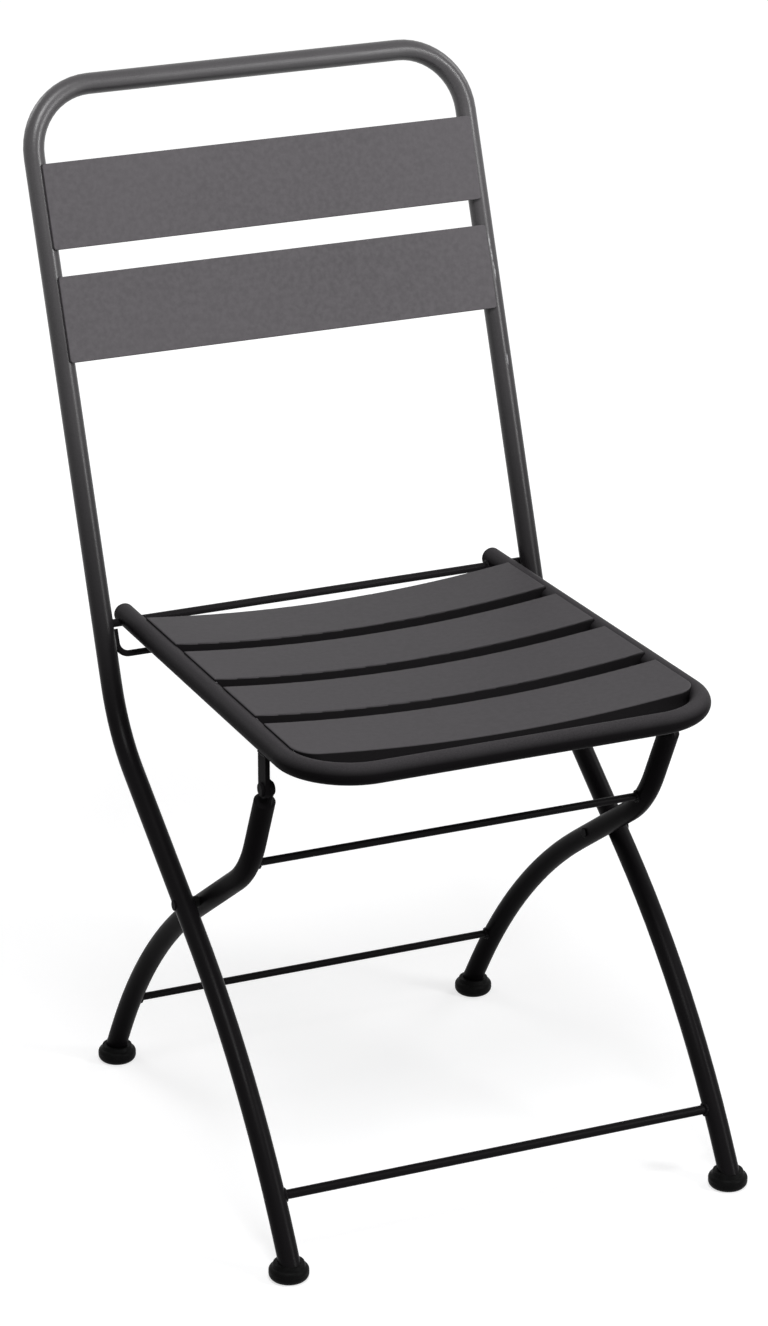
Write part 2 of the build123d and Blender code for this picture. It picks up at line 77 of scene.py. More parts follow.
# Rods welded between two legs: radius, slope of the legs there and the body they ride on
STRETCHERS = (
    ("front_stretcher", 0.0040, math.radians(56.0), "back_frame"),
    ("rear_upper_stretcher", 0.00325, math.radians(130.0), "rear_legs"),
    ("rear_lower_stretcher", 0.00325, math.radians(127.0), "rear_legs"),
)
# Pale marks on the right back tube: height above the rails, turn from the tube's front, half length
PALE_MARKS = (
    (0.2790, math.radians(3.0), 0.014),
    (0.2650, math.radians(7.0), 0.014),
    (0.2530, math.radians(12.0), 0.011),
    (0.1765, math.radians(12.0), 0.009),
)
PALE_MARK_HALF_WIDTH = 0.0012
PALE_MARK_COLOUR = (0.40, 0.40, 0.41, 1.0)
PALE_MARK_GRAIN = 0.0030
# How far up a face looks where the painted light starts and where it is full, from -1 down to 1 up; below
# the start the coat takes painted shade
TUBE_FACING = (-0.95, 0.25)
RAIL_FACING = (0.15, 1.1)
BACK_SLAT_FACING = (-0.95, -0.6)
SEAT_SLAT_FACING = (0.35, 0.85)
# The floor is lifted to white from the first distance to the second
FLOOR_GLOW_REACH = (0.5, 1.8)
FAR_FLOOR_WHITE = 0.92


class ChairFinish(PropertyGroup):
    """Colours and grain of the chair's finishes."""

    # Tube coat colour where painted light is full, set darker than the slats' coat as painted shade
    tube_colour: FloatVectorProperty(
        name="Tube colour",
        description="Powder coat high on the tubes, where it has a dusty bloom",
        subtype="COLOR",
        size=3,
        min=0.0,
        max=1.0,
        default=(0.052, 0.0489, 0.052),
    )
    # Near-black painted shade: low on the legs, on faces turned down, on the rails' sides and on the lips of
    # the seat slats
    painted_shade_colour: FloatVectorProperty(
        name="Low tube colour",
        description="Bare powder coat low on the legs and on the lips of the slats",
        subtype="COLOR",
        size=3,
        min=0.0,
        max=1.0,
        default=(0.0042, 0.0037, 0.0042),
    )
    # The slats share one coat; the back slats' colour is set lighter and the seat slats' darker as painted
    # light and shade
    back_slat_colour: FloatVectorProperty(
        name="Back slat colour",
        description="Powder coat on the back slats",
        subtype="COLOR",
        size=3,
        min=0.0,
        max=1.0,
        default=(0.108, 0.1015, 0.108),
    )
    seat_slat_colour: FloatVectorProperty(
        name="Seat slat colour",
        description="Powder coat on the seat slats",
        subtype="COLOR",
        size=3,
        min=0.0,
        max=1.0,
        default=(0.063, 0.0592, 0.063),
    )
    foot_colour: FloatVectorProperty(
        name="Foot colour",
        description="Moulded plastic of the feet",
        subtype="COLOR",
        size=3,
        min=0.0,
        max=1.0,
        default=(0.004, 0.004, 0.004),
    )
    blotch_size: FloatProperty(
        name="Slat blotches",
        description="Size of the soft blotches in the slats' coat",
        subtype="DISTANCE",
        unit="LENGTH",
        min=0.001,
        default=0.0045,
    )
    low_shine: FloatProperty(
        name="Low shine",
        description="Strength of reflections low on the legs, where 0.5 is plain plastic",
        subtype="FACTOR",
        min=0.0,
        max=1.0,
        default=0.035,
    )
    rear_shine: FloatProperty(
        name="Rear leg shine",
        description="Strength of reflections on the rear legs, the seat rail, the lugs and the rivets",
        subtype="FACTOR",
        min=0.0,
        max=1.0,
        default=0.008,
    )
    high_shine: FloatProperty(
        name="High shine",
        description="Strength of reflections high on the back, where 0.5 is plain plastic",
        subtype="FACTOR",
        min=0.0,
        max=1.0,
        default=0.50,
    )
    # Heights between which the coats go from near-black painted shade to full painted light
    painted_light_low: FloatProperty(
        name="Bloom starts",
        description="Height above the floor where the dusty bloom starts",
        subtype="DISTANCE",
        unit="LENGTH",
        default=0.36,
    )
    painted_light_high: FloatProperty(
        name="Bloom full",
        description="Height above the floor where the dusty bloom is full",
        subtype="DISTANCE",
        unit="LENGTH",
        default=0.80,
    )
    grain_size: FloatProperty(
        name="Coat grain",
        description="Size of the powder coat's fine texture",
        subtype="DISTANCE",
        unit="LENGTH",
        min=0.0003,
        default=0.0011,
    )


class ChairWelds(PropertyGroup):
    """Sizes of the weld beads."""

    rod_bead: FloatProperty(
        name="Rod bead",
        description="Radius of the bead round a rod's end",
        subtype="DISTANCE",
        unit="LENGTH",
        min=0.0005,
        default=0.0015,
    )
    seam_bead: FloatProperty(
        name="Seam bead",
        description="Radius of the short beads at the lugs and the brace bar",
        subtype="DISTANCE",
        unit="LENGTH",
        min=0.0005,
        default=0.0013,
    )
    ripple: FloatProperty(
        name="Ripple",
        description="How far the bead swells with each ripple, as a share of its radius",
        subtype="FACTOR",
        min=0.0,
        max=0.5,
        default=0.16,
    )
    ripple_length: FloatProperty(
        name="Ripple length",
        description="Distance from one ripple to the next",
        subtype="DISTANCE",
        unit="LENGTH",
        min=0.0008,
        default=0.0022,
    )


class ChairStage(PropertyGroup):
    """Camera, floor and light."""

    camera_azimuth: FloatProperty(
        name="Camera azimuth",
        description="Turn of the camera round the chair, from straight ahead",
        subtype="ANGLE",
        unit="ROTATION",
        default=math.radians(-24.428),
    )
    camera_elevation: FloatProperty(
        name="Camera elevation",
        description="Height angle of the camera",
        subtype="ANGLE",
        unit="ROTATION",
        default=math.radians(20.661),
    )
    camera_place: FloatVectorProperty(
        name="Camera place",
        description="Where the camera stands",
        subtype="TRANSLATION",
        unit="LENGTH",
        size=3,
        default=(-1.6046, -3.2776 - MIDDLE_Y, 1.8742),
    )
    camera_lens: FloatProperty(
        name="Lens",
        description="Focal length on a 36 mm tall frame, in millimetres",
        min=20.0,
        default=134.64,
    )
    floor_colour: FloatVectorProperty(
        name="Floor colour",
        description="Pale studio floor",
        subtype="COLOR",
        size=3,
        min=0.0,
        max=1.0,
        default=(0.45, 0.45, 0.455),
    )
    floor_white: FloatProperty(
        name="Floor white",
        description="How far the floor by the chair is lifted to white for the camera",
        subtype="FACTOR",
        min=0.0,
        max=1.0,
        default=0.69,
    )
    key_power: FloatProperty(
        name="Key light",
        description="Power of the large soft light above the front of the chair, in watts",
        min=0.0,
        default=50.0,
    )
    strip_power: FloatProperty(
        name="Strip light",
        description="Power of the tall light at the right front, for highlights on the tubes, in watts",
        min=0.0,
        default=46.0,
    )
    fill_power: FloatProperty(
        name="Fill light",
        description="Power of the soft light on the right, in watts",
        min=0.0,
        default=10.0,
    )
    rear_power: FloatProperty(
        name="Rear light",
        description="Power of the soft light behind the chair, in watts",
        min=0.0,
        default=16.0,
    )
    room_light: FloatProperty(
        name="Room light",
        description="Strength of the even light from all round",
        min=0.0,
        default=0.16,
    )


# Materials


def node(tree, kind, x, y, **values):
    """Adds a shader node, sets its attributes and places it."""
    made = tree.nodes.new(kind)
    made.location = (x, y)
    for key, value in values.items():
        setattr(made, key, value)
    return made


def noise_node(tree, coordinates, size, detail, x, y):
    """Noise whose cells are about the given size in metres."""
    made = node(tree, "ShaderNodeTexNoise", x, y)
    made.inputs["Scale"].default_value = 1.0 / size
    made.inputs["Detail"].default_value = detail
    tree.links.new(coordinates, made.inputs["Vector"])
    return made


def range_node(tree, source, low, high, to_low, to_high, x, y):
    """Maps one range of numbers to another, clamped."""
    made = node(tree, "ShaderNodeMapRange", x, y)
    for key, value in (("From Min", low), ("From Max", high), ("To Min", to_low), ("To Max", to_high)):
        made.inputs[key].default_value = value
    tree.links.new(source, made.inputs["Value"])
    return made


def shade(colour, factor):
    """The colour made lighter or darker."""
    return tuple(min(1.0, channel * factor) for channel in colour) + (1.0,)


def coat_material(name, colours, facing, grain, rough, shine, mottle=0.16, heights=None, underside=False):
    """Satin powder coat: fine mottling, orange-peel bump, painted light on faces turned up (and high up,
    given heights) and painted shade elsewhere.
    """
    lit_colour, shaded_colour = colours
    material = bpy.data.materials.new(name)
    material.use_nodes = True
    tree = material.node_tree
    tree.nodes.clear()
    links = tree.links
    output = node(tree, "ShaderNodeOutputMaterial", 900, 0)
    shader = node(tree, "ShaderNodeBsdfPrincipled", 600, 0)
    shader.inputs["Specular IOR Level"].default_value = shine
    coordinates = node(tree, "ShaderNodeTexCoord", -1500, 0)
    place = coordinates.outputs["Object"]
    speckle = noise_node(tree, place, grain, 3.0, -900, 250)
    cloud = noise_node(tree, place, grain * 55, 2.0, -900, 0)
    peel = noise_node(tree, place, grain * 1.6, 2.0, -900, -300)
    speckle_share = range_node(tree, speckle.outputs["Fac"], 0.32, 0.68, 0.0, 1.0, -700, 250)
    tones = node(tree, "ShaderNodeMix", -450, 250, data_type="RGBA")
    tones.inputs["A"].default_value = shade(lit_colour, 1.0 - mottle)
    tones.inputs["B"].default_value = shade(lit_colour, 1.0 + mottle)
    links.new(speckle_share.outputs["Result"], tones.inputs["Factor"])
    cloud_share = range_node(tree, cloud.outputs["Fac"], 0.35, 0.75, 0.0, 0.45, -700, 0)
    dusty = node(tree, "ShaderNodeMix", -200, 200, data_type="RGBA")
    dusty.inputs["B"].default_value = shade(lit_colour, 1.22)
    links.new(tones.outputs["Result"], dusty.inputs["A"])
    links.new(cloud_share.outputs["Result"], dusty.inputs["Factor"])
    # Painted light and shade: the lit colour where the surface faces up and stands high, the near-black
    # shaded colour elsewhere
    lit_or_shaded = node(tree, "ShaderNodeMix", 0, 200, data_type="RGBA")
    lit_or_shaded.inputs["A"].default_value = shade(shaded_colour, 1.0)
    links.new(dusty.outputs["Result"], lit_or_shaded.inputs["B"])
    links.new(painted_light_share(tree, coordinates, facing, heights, underside), lit_or_shaded.inputs["Factor"])
    links.new(lit_or_shaded.outputs["Result"], shader.inputs["Base Color"])
    rough_out = range_node(tree, cloud.outputs["Fac"], 0.3, 0.7, rough - 0.05, rough + 0.06, 200, -150)
    links.new(rough_out.outputs["Result"], shader.inputs["Roughness"])
    bump = node(tree, "ShaderNodeBump", 300, -350)
    bump.inputs["Strength"].default_value = 0.16
    bump.inputs["Distance"].default_value = 0.0004
    links.new(peel.outputs["Fac"], bump.inputs["Height"])
    links.new(bump.outputs["Normal"], shader.inputs["Normal"])
    links.new(shader.outputs["BSDF"], output.inputs["Surface"])
    return material


def painted_light_share(tree, coordinates, facing, heights, underside):
    """Share of painted light: more where the surface faces up, or also down, and with heights, more high up;
    the rest is painted shade.
    """
    turned = node(tree, "ShaderNodeSeparateXYZ", -1250, 600)
    tree.links.new(coordinates.outputs["Normal"], turned.inputs["Vector"])
    slope = turned.outputs["Z"]
    if underside:
        steepness = node(tree, "ShaderNodeMath", -1050, 600, operation="ABSOLUTE")
        tree.links.new(slope, steepness.inputs[0])
        slope = steepness.outputs["Value"]
    share = range_node(tree, slope, facing[0], facing[1], 0.05, 1.0, -850, 600)
    if heights is None:
        return share.outputs["Result"]
    split = node(tree, "ShaderNodeSeparateXYZ", -1250, 850)
    tree.links.new(coordinates.outputs["Object"], split.inputs["Vector"])
    rise = range_node(tree, split.outputs["Z"], heights[0], heights[1], 0.04, 1.0, -850, 850)
    both = node(tree, "ShaderNodeMath", -600, 700, operation="MULTIPLY")
    tree.links.new(share.outputs["Result"], both.inputs[0])
    tree.links.new(rise.outputs["Result"], both.inputs[1])
    return both.outputs["Value"]


def add_rising_shine(material, heights, low_shine, high_shine):
    """Makes the shine of a coat grow with height."""
    tree = material.node_tree
    place = node(tree, "ShaderNodeTexCoord", -600, 1500).outputs["Object"]
    split = node(tree, "ShaderNodeSeparateXYZ", -400, 1500)
    tree.links.new(place, split.inputs["Vector"])
    shine = range_node(tree, split.outputs["Z"], *heights, low_shine, high_shine, -200, 1500)
    shader = tree.nodes["Principled BSDF"]
    tree.links.new(shine.outputs["Result"], shader.inputs["Specular IOR Level"])


def add_pale_marks(material, marks):
    """Mixes small ragged pale patches into a coat."""
    tree = material.node_tree
    base = tree.nodes["Principled BSDF"].inputs["Base Color"]
    place = node(tree, "ShaderNodeTexCoord", -1500, 1200).outputs["Object"]
    colour_out = base.links[0].from_socket
    for index, (mark_place, mark_size) in enumerate(marks):
        colour_out = add_pale_mark(tree, place, colour_out, mark_place, mark_size, index)
    tree.links.new(colour_out, base)


def add_pale_mark(tree, place, colour_out, mark_place, mark_size, index):
    """Mixes a small ragged pale patch over a colour. The size holds its half lengths along X, Y and Z."""
    links = tree.links
    x = 150 + index * 40
    y = 1000 + index * 260
    offset = node(tree, "ShaderNodeVectorMath", x - 1100, y, operation="SUBTRACT")
    offset.inputs[1].default_value = mark_place
    links.new(place, offset.inputs[0])
    scaled = node(tree, "ShaderNodeVectorMath", x - 900, y, operation="DIVIDE")
    scaled.inputs[1].default_value = mark_size
    links.new(offset.outputs["Vector"], scaled.inputs[0])
    length = node(tree, "ShaderNodeVectorMath", x - 700, y, operation="LENGTH")
    links.new(scaled.outputs["Vector"], length.inputs[0])
    near = range_node(tree, length.outputs["Value"], 0.0, 1.0, 1.0, 0.0, x - 500, y)
    ragged = noise_node(tree, place, PALE_MARK_GRAIN, 5.0, x - 700, y - 150)
    both = node(tree, "ShaderNodeMath", x - 300, y, operation="MULTIPLY")
    links.new(near.outputs["Result"], both.inputs[0])
    links.new(ragged.outputs["Fac"], both.inputs[1])
    mask = range_node(tree, both.outputs["Value"], 0.14, 0.44, 0.0, 0.75, x - 150, y)
    mixed = node(tree, "ShaderNodeMix", x, y, data_type="RGBA")
    mixed.inputs["B"].default_value = PALE_MARK_COLOUR
    links.new(colour_out, mixed.inputs["A"])
    links.new(mask.outputs["Result"], mixed.inputs["Factor"])
    return mixed.outputs["Result"]


def plastic_material(name, colour):
    """Moulded plastic: fine spark-eroded grain and scuffed, slightly paler patches."""
    material = bpy.data.materials.new(name)
    material.use_nodes = True
    tree = material.node_tree
    tree.nodes.clear()
    links = tree.links
    output = node(tree, "ShaderNodeOutputMaterial", 700, 0)
    shader = node(tree, "ShaderNodeBsdfPrincipled", 400, 0)
    shader.inputs["Specular IOR Level"].default_value = 0.03
    place = node(tree, "ShaderNodeTexCoord", -900, 0).outputs["Object"]
    grain = noise_node(tree, place, 0.0006, 2.0, -650, -250)
    scuff = noise_node(tree, place, 0.006, 5.0, -650, 100)
    scuff_share = range_node(tree, scuff.outputs["Fac"], 0.45, 0.75, 0.0, 0.6, -450, 100)
    tones = node(tree, "ShaderNodeMix", -200, 100, data_type="RGBA")
    tones.inputs["A"].default_value = shade(colour, 1.0)
    tones.inputs["B"].default_value = shade(colour, 2.2)
    links.new(scuff_share.outputs["Result"], tones.inputs["Factor"])
    links.new(tones.outputs["Result"], shader.inputs["Base Color"])
    rough = range_node(tree, scuff.outputs["Fac"], 0.3, 0.7, 0.38, 0.55, 100, -100)
    links.new(rough.outputs["Result"], shader.inputs["Roughness"])
    bump = node(tree, "ShaderNodeBump", 150, -300)
    bump.inputs["Strength"].default_value = 0.12
    bump.inputs["Distance"].default_value = 0.0003
    links.new(grain.outputs["Fac"], bump.inputs["Height"])
    links.new(bump.outputs["Normal"], shader.inputs["Normal"])
    links.new(shader.outputs["BSDF"], output.inputs["Surface"])
    return material


def seen_share(tree, x, y):
    """One for camera, glossy and transmission rays, zero for the rays that light the chair."""
    path = node(tree, "ShaderNodeLightPath", x, y)
    first = node(tree, "ShaderNodeMath", x + 200, y, operation="MAXIMUM")
    tree.links.new(path.outputs["Is Camera Ray"], first.inputs[0])
    tree.links.new(path.outputs["Is Glossy Ray"], first.inputs[1])
    second = node(tree, "ShaderNodeMath", x + 400, y, operation="MAXIMUM")
    tree.links.new(first.outputs["Value"], second.inputs[0])
    tree.links.new(path.outputs["Is Transmission Ray"], second.inputs[1])
    return second.outputs["Value"]


def wear(names, material):
    """Gives one material to CAD nodes."""
    for name in names:
        mesh = NODES[name].data
        mesh.materials.clear()
        mesh.materials.append(material)


# Weld beads


def bead(name, points, radius, closed, body, material):
    """A rippled weld bead along points, riding on a body. An open bead has tapered ends."""
    welds = bpy.context.scene.chair_welds
    count = len(points)
    length = 0.0
    bead_mesh = bmesh.new()
    rings = []
    for index, point in enumerate(points):
        if closed:
            before = points[index - 1]
            after = points[(index + 1) % count]
        else:
            before = points[max(index - 1, 0)]
            after = points[min(index + 1, count - 1)]
        if index:
            length += (point - points[index - 1]).length
        way = (after - before).normalized()
        side = way.orthogonal().normalized()
        lift = way.cross(side).normalized()
        swell = 1.0 + welds.ripple * math.sin(2.0 * math.pi * length / welds.ripple_length)
        if not closed:
            share = index / (count - 1)
            swell *= math.sqrt(max(1.0 - (2.0 * share - 1.0) ** 4, 0.04))
        ring = []
        for step in range(BEAD_SIDES):
            angle = 2.0 * math.pi * step / BEAD_SIDES
            offset = side * math.cos(angle) + lift * math.sin(angle)
            ring.append(bead_mesh.verts.new(point + offset * radius * swell))
        rings.append(ring)
    pairs = count if closed else count - 1
    for index in range(pairs):
        first = rings[index]
        second = rings[(index + 1) % count]
        shift = best_shift(first, second)
        for step in range(BEAD_SIDES):
            bead_mesh.faces.new(
                (
                    first[step],
                    first[(step + 1) % BEAD_SIDES],
                    second[(step + 1 + shift) % BEAD_SIDES],
                    second[(step + shift) % BEAD_SIDES],
                )
            )
    if not closed:
        bead_mesh.faces.new(rings[0])
        bead_mesh.faces.new(rings[-1])
    bmesh.ops.recalc_face_normals(bead_mesh, faces=bead_mesh.faces)
    mesh = bpy.data.meshes.new(name)
    bead_mesh.to_mesh(mesh)
    bead_mesh.free()
    for face in mesh.polygons:
        face.use_smooth = True
    made = bpy.data.objects.new(name, mesh)
    bpy.context.scene.collection.objects.link(made)
    mesh.materials.append(material)
    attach(made, body)
    return made


def best_shift(first, second):
    """Number of steps to turn the second ring by, so that the rings join without a twist."""
    distances = [(vert.co - first[0].co).length for vert in second]
    return distances.index(min(distances))


def rod_ring(centre, rod_radius, tube_way, side, drop=0.0):
    """Points of the seam where a rod along X meets a round tube, whose middle is a drop above the rod's."""
    across = tube_way.cross(ACROSS).normalized()
    points = []
    for step in range(RING_POINTS):
        angle = 2.0 * math.pi * step / RING_POINTS
        reach = Vector((0.0, math.cos(angle), math.sin(angle))) * rod_radius
        out = (reach - Vector((0.0, 0.0, drop))).dot(across)
        x = centre.x - side * math.sqrt(max(TUBE_RADIUS**2 - out**2, 0.0))
        points.append(Vector((x, centre.y + reach.y, centre.z + reach.z)))
    return points


def straight(start, end):
    """Evenly spaced points from one place to another."""
    return [start.lerp(end, step / (SEAM_POINTS - 1)) for step in range(SEAM_POINTS)]


def node_middle(name):
    """Middle of a CAD node's box."""
    low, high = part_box(name)
    return (low + high) / 2


def back_tube_place(side, height, turn):
    """Place on a back tube: how far up from the seat rails, and how far round from its front."""
    middle = Vector((side * BACK_HALF_WIDTH, BACK_Y - MIDDLE_Y, RAIL_HEIGHT)) + ALONG_BACK * height
    return middle + (OUT_OF_BACK * math.cos(turn) + ACROSS * math.sin(turn)) * TUBE_RADIUS


# Operators


class CHAIR_OT_tubes(Operator):
    """Coats the tubes, rods and lugs."""

    bl_idname = "chair.tubes"
    bl_label = "Coat tubes"

    def execute(self, context):
        finish = context.scene.chair_finish
        grain = finish.grain_size
        marks = []
        for height, turn, length in PALE_MARKS:
            place = back_tube_place(1, height, turn)
            marks.append((place, Vector((PALE_MARK_HALF_WIDTH, length, length))))
        colours = (finish.tube_colour, finish.painted_shade_colour)
        heights = (finish.painted_light_low, finish.painted_light_high)
        shine = finish.low_shine
        dull = finish.rear_shine
        # The tube coats paint light on faces turned up and high on the back, and near-black shade low on the
        # legs and under the tubes
        frame_coat = coat_material("frame_coat", colours, TUBE_FACING, grain, 0.33, shine, 0.16, heights)
        add_rising_shine(frame_coat, heights, shine, finish.high_shine)
        add_pale_marks(frame_coat, marks)
        tube_coat = coat_material("tube_coat", colours, TUBE_FACING, grain, 0.33, shine, 0.16, heights)
        leg_coat = coat_material("leg_coat", colours, TUBE_FACING, grain, 0.36, dull, 0.16, heights)
        # The rails' coat paints light on their tops and near-black shade on their sides and undersides
        rail_coat = coat_material("rail_coat", colours, RAIL_FACING, grain, 0.40, dull)
        wear(["back_frame_tube"], frame_coat)
        rods = ["front_stretcher", "rear_upper_stretcher", "rear_lower_stretcher", "rear_slide_rod"]
        wear(["back_brace_bar", "slide_stop_left", "slide_stop_right"] + rods, tube_coat)
        wear(["rear_leg_left", "rear_leg_right"], leg_coat)
        wear(["seat_frame_tube", "rail_end_cap_left", "rail_end_cap_right"], rail_coat)
        # The lugs take the rails' coat, so they get its painted shade
        wear(["seat_lug_left", "seat_lug_right"], rail_coat)
        return {"FINISHED"}


class CHAIR_OT_slats(Operator):
    """Coats the seat slats and back slats."""

    bl_idname = "chair.slats"
    bl_label = "Coat slats"

    def execute(self, context):
        finish = context.scene.chair_finish
        blotch = finish.blotch_size
        back_colours = (finish.back_slat_colour, finish.painted_shade_colour)
        seat_colours = (finish.seat_slat_colour, finish.painted_shade_colour)
        # Painted shade: on the back slats' faces that turn down and on the seat slats' lips; the seat slats'
        # tops and undersides get the painted light
        back_coat = coat_material("back_slat_coat", back_colours, BACK_SLAT_FACING, blotch, 0.50, 0.05, 0.10)
        seat_coat = coat_material(
            "seat_slat_coat", seat_colours, SEAT_SLAT_FACING, blotch, 0.50, 0.05, 0.06, underside=True
        )
        wear([name for name in NODES if name.endswith("_back_slat")], back_coat)
        wear([name for name in NODES if name.endswith("_seat_slat")], seat_coat)
        return {"FINISHED"}


class CHAIR_OT_pivots(Operator):
    """Coats the rivets and gives the spacers their plastic."""

    bl_idname = "chair.pivots"
    bl_label = "Finish pivots"

    def execute(self, context):
        finish = context.scene.chair_finish
        colours = (finish.tube_colour, finish.painted_shade_colour)
        heights = (finish.painted_light_low, finish.painted_light_high)
        grain = finish.grain_size
        dull = finish.rear_shine
        # The rivets take the tubes' painted light and shade by face and height
        coat = coat_material("rivet_coat", colours, TUBE_FACING, grain, 0.34, dull, 0.16, heights)
        plastic = plastic_material("spacer_plastic", finish.foot_colour)
        wear([name for name in NODES if "_pivot_" in name], coat)
        wear([name for name in NODES if "_spacer_" in name], plastic)
        return {"FINISHED"}


class CHAIR_OT_feet(Operator):
    """Gives the feet their moulded plastic."""

    bl_idname = "chair.feet"
    bl_label = "Finish feet"

    def execute(self, context):
        plastic = plastic_material("foot_plastic", context.scene.chair_finish.foot_colour)
        wear([name for name in NODES if "_foot_" in name], plastic)
        return {"FINISHED"}


class CHAIR_OT_welds(Operator):
    """Lays the weld beads at the rods, the lugs and the brace bar."""

    bl_idname = "chair.welds"
    bl_label = "Lay weld beads"

    def execute(self, context):
        coat = bpy.data.materials["tube_coat"]
        welds = context.scene.chair_welds
        for stem, rod_radius, angle, body in STRETCHERS:
            middle = node_middle(stem)
            half_width = BACK_HALF_WIDTH
            if body == "rear_legs":
                half_width = REAR_FOOT_HALF_WIDTH + REAR_SPLAY * (middle.z - LEG_END_HEIGHT)
            tube_way = Vector((0.0, math.cos(angle), math.sin(angle)))
            for side_name, side in SIDES:
                centre = Vector((side * half_width, middle.y, middle.z))
                ring = rod_ring(centre, rod_radius + welds.rod_bead * BEAD_LIFT, tube_way, side)
                bead(f"weld_{stem}_{side_name}", ring, welds.rod_bead, True, body, coat)
        rod = node_middle("rear_slide_rod")
        rail_way = Vector((0.0, 1.0, 0.0))
        for side_name, side in SIDES:
            centre = Vector((side * RAIL_HALF_WIDTH_AT_ROD, rod.y, rod.z))
            ring_radius = SLIDE_ROD_RADIUS + welds.rod_bead * BEAD_LIFT
            ring = rod_ring(centre, ring_radius, rail_way, side, RAIL_HEIGHT - rod.z)
            bead(f"weld_slide_rod_{side_name}", ring, welds.rod_bead, True, "seat", coat)
            self.lug_beads(side_name, welds.seam_bead, coat)
            self.brace_bead(side_name, side, welds.seam_bead, coat)
        return {"FINISHED"}

    def lug_beads(self, side_name, radius, coat):
        """A bead on each face of a lug where it meets the side rail."""
        low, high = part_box(f"seat_lug_{side_name}")
        rail_x = math.copysign(RAIL_HALF_WIDTH_AT_LUG, low.x)
        faces = (("inner", min(low.x, high.x, key=abs)), ("outer", max(low.x, high.x, key=abs)))
        for face_name, x in faces:
            z = RAIL_HEIGHT - math.sqrt(TUBE_RADIUS**2 - (x - rail_x) ** 2)
            points = straight(Vector((x, low.y, z)), Vector((x, high.y, z)))
            bead(f"weld_lug_{face_name}_{side_name}", points, radius, False, "seat", coat)

    def brace_bead(self, side_name, side, radius, coat):
        """A bead between the brace bar's turned-up end and the back tube."""
        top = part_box("back_brace_bar")[1].z
        reach = TUBE_RADIUS + 0.0004
        behind = BRACE_BEHIND * TUBE_RADIUS / BRACE_TO_TUBE_MIDDLE
        x = side * (BACK_HALF_WIDTH - math.sqrt(reach**2 - behind**2))
        foot = Vector((x, BACK_Y - MIDDLE_Y, RAIL_HEIGHT)) - OUT_OF_BACK * behind
        start = foot - ALONG_BACK * ((RAIL_HEIGHT - top) / ALONG_BACK.z + 0.001)
        points = straight(start, start - ALONG_BACK * BRACE_BEAD_LENGTH)
        bead(f"weld_brace_{side_name}", points, radius, False, "back_frame", coat)


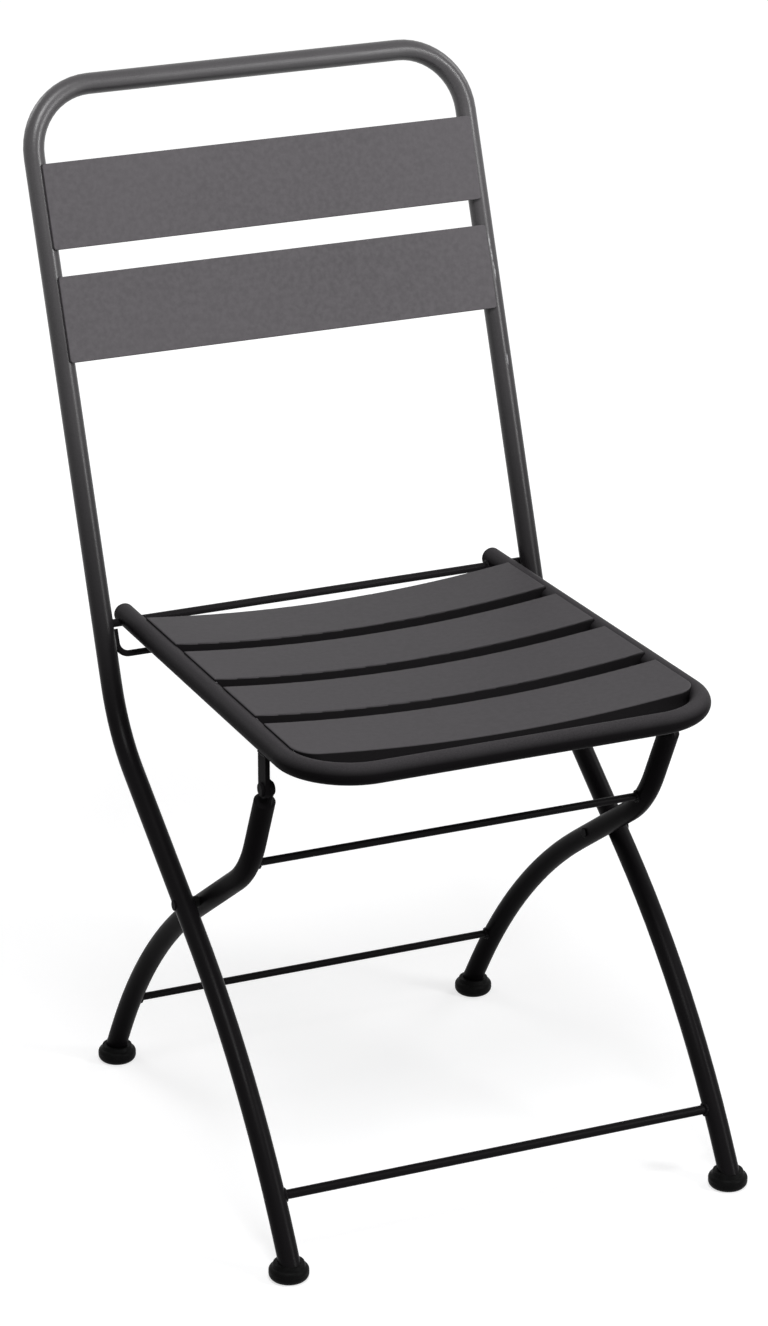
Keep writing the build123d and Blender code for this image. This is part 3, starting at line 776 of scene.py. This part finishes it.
class CHAIR_OT_stage(Operator):
    """Sets the floor, the lights and the camera."""

    bl_idname = "chair.stage"
    bl_label = "Set the stage"

    def execute(self, context):
        stage = context.scene.chair_stage
        floor_mesh = bpy.data.meshes.new("floor")
        floor_shape = bmesh.new()
        bmesh.ops.create_grid(floor_shape, x_segments=4, y_segments=4, size=14.0)
        floor_shape.to_mesh(floor_mesh)
        floor_shape.free()
        floor = bpy.data.objects.new("floor", floor_mesh)
        context.scene.collection.objects.link(floor)
        floor_mesh.materials.append(self.floor_material(stage))
        middle = Vector((0.0, 0.05, 0.6))
        self.lamp("key_light", (-0.6, -1.5, 2.9), middle, (0.9, 0.9), stage.key_power)
        self.lamp("strip_light", (1.7, -2.1, 1.5), middle, (0.35, 2.0), stage.strip_power)
        self.lamp("fill_light", (2.2, 0.4, 1.9), middle, (1.0, 1.0), stage.fill_power)
        self.lamp("rear_light", (-1.3, 2.6, 2.0), middle, (1.2, 1.2), stage.rear_power)
        self.room(context, stage.room_light)
        self.camera(context, stage)
        context.scene.view_settings.view_transform = "Standard"
        return {"FINISHED"}

    def floor_material(self, stage):
        """Pale floor that is white to the camera and in reflections, and takes the chair's shadow."""
        material = bpy.data.materials.new("studio_floor")
        material.use_nodes = True
        tree = material.node_tree
        shader = tree.nodes["Principled BSDF"]
        shader.inputs["Roughness"].default_value = 0.9
        shader.inputs["Specular IOR Level"].default_value = 0.0
        place = node(tree, "ShaderNodeTexCoord", -900, 0).outputs["Object"]
        patches = noise_node(tree, place, 0.8, 2.0, -650, 0)
        tones = node(tree, "ShaderNodeMix", -300, 0, data_type="RGBA")
        tones.inputs["A"].default_value = shade(stage.floor_colour, 0.99)
        tones.inputs["B"].default_value = shade(stage.floor_colour, 1.01)
        tree.links.new(patches.outputs["Fac"], tones.inputs["Factor"])
        tree.links.new(tones.outputs["Result"], shader.inputs["Base Color"])
        away = node(tree, "ShaderNodeVectorMath", -650, -300, operation="LENGTH")
        tree.links.new(place, away.inputs[0])
        whites = (stage.floor_white, FAR_FLOOR_WHITE)
        glow = range_node(tree, away.outputs["Value"], *FLOOR_GLOW_REACH, *whites, -450, -300)
        strength = node(tree, "ShaderNodeMath", -200, -300, operation="MULTIPLY")
        tree.links.new(glow.outputs["Result"], strength.inputs[0])
        tree.links.new(seen_share(tree, -900, -500), strength.inputs[1])
        white = node(tree, "ShaderNodeEmission", 0, -300)
        tree.links.new(strength.outputs["Value"], white.inputs["Strength"])
        both = node(tree, "ShaderNodeAddShader", 300, -100)
        tree.links.new(shader.outputs["BSDF"], both.inputs[0])
        tree.links.new(white.outputs["Emission"], both.inputs[1])
        tree.links.new(both.outputs["Shader"], tree.nodes["Material Output"].inputs["Surface"])
        return material

    def lamp(self, name, place, target, size, power):
        """A soft light of a width and a height that looks at a target."""
        light = bpy.data.lights.new(name, "AREA")
        light.shape = "RECTANGLE"
        light.size, light.size_y = size
        light.energy = power
        made = bpy.data.objects.new(name, light)
        made.location = place
        made.rotation_euler = (target - Vector(place)).to_track_quat("-Z", "Y").to_euler()
        bpy.context.scene.collection.objects.link(made)

    def room(self, context, strength):
        """Even light from all round, white where the camera sees it."""
        world = bpy.data.worlds.new("studio")
        context.scene.world = world
        world.use_nodes = True
        tree = world.node_tree
        ground = tree.nodes["Background"]
        ground.inputs["Color"].default_value = (1.0, 1.0, 1.0, 1.0)
        ground.inputs["Strength"].default_value = strength
        white = node(tree, "ShaderNodeBackground", 0, -200)
        white.inputs["Color"].default_value = (1.0, 1.0, 1.0, 1.0)
        mix = node(tree, "ShaderNodeMixShader", 300, 0)
        tree.links.new(seen_share(tree, -600, 300), mix.inputs["Fac"])
        tree.links.new(ground.outputs["Background"], mix.inputs[1])
        tree.links.new(white.outputs["Background"], mix.inputs[2])
        tree.links.new(mix.outputs["Shader"], tree.nodes["World Output"].inputs["Surface"])

    def camera(self, context, stage):
        """A camera at the photograph's place and angle."""
        data = bpy.data.cameras.new("camera")
        data.sensor_fit = "VERTICAL"
        data.sensor_height = 36.0
        data.lens = stage.camera_lens
        data.clip_end = 100.0
        made = bpy.data.objects.new("camera", data)
        made.location = stage.camera_place
        made.rotation_euler = (math.pi / 2 - stage.camera_elevation, 0.0, stage.camera_azimuth)
        context.scene.collection.objects.link(made)
        context.scene.camera = made


class CHAIR_PT_panel(Panel):
    """Lists the chair's steps and settings."""

    bl_idname = "CHAIR_PT_panel"
    bl_label = "Metal folding chair"
    bl_space_type = "VIEW_3D"
    bl_region_type = "UI"
    bl_category = "Chair"

    def draw(self, context):
        layout = self.layout
        for step in STEPS:
            layout.operator(step.bl_idname)
        for settings in (context.scene.chair_finish, context.scene.chair_welds, context.scene.chair_stage):
            box = layout.box()
            for key in settings.__annotations__:
                box.prop(settings, key)


STEPS = (CHAIR_OT_tubes, CHAIR_OT_slats, CHAIR_OT_pivots, CHAIR_OT_feet, CHAIR_OT_welds, CHAIR_OT_stage)
CLASSES = (ChairFinish, ChairWelds, ChairStage) + STEPS + (CHAIR_PT_panel,)


def register():
    for item in CLASSES:
        bpy.utils.register_class(item)
    bpy.types.Scene.chair_finish = PointerProperty(type=ChairFinish)
    bpy.types.Scene.chair_welds = PointerProperty(type=ChairWelds)
    bpy.types.Scene.chair_stage = PointerProperty(type=ChairStage)


def unregister():
    del bpy.types.Scene.chair_stage
    del bpy.types.Scene.chair_welds
    del bpy.types.Scene.chair_finish
    for item in reversed(CLASSES):
        bpy.utils.unregister_class(item)


def main():
    """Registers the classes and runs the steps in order."""
    register()
    bpy.ops.chair.tubes()
    bpy.ops.chair.slats()
    bpy.ops.chair.pivots()
    bpy.ops.chair.feet()
    bpy.ops.chair.welds()
    bpy.ops.chair.stage()


if __name__ == "__main__":
    main()
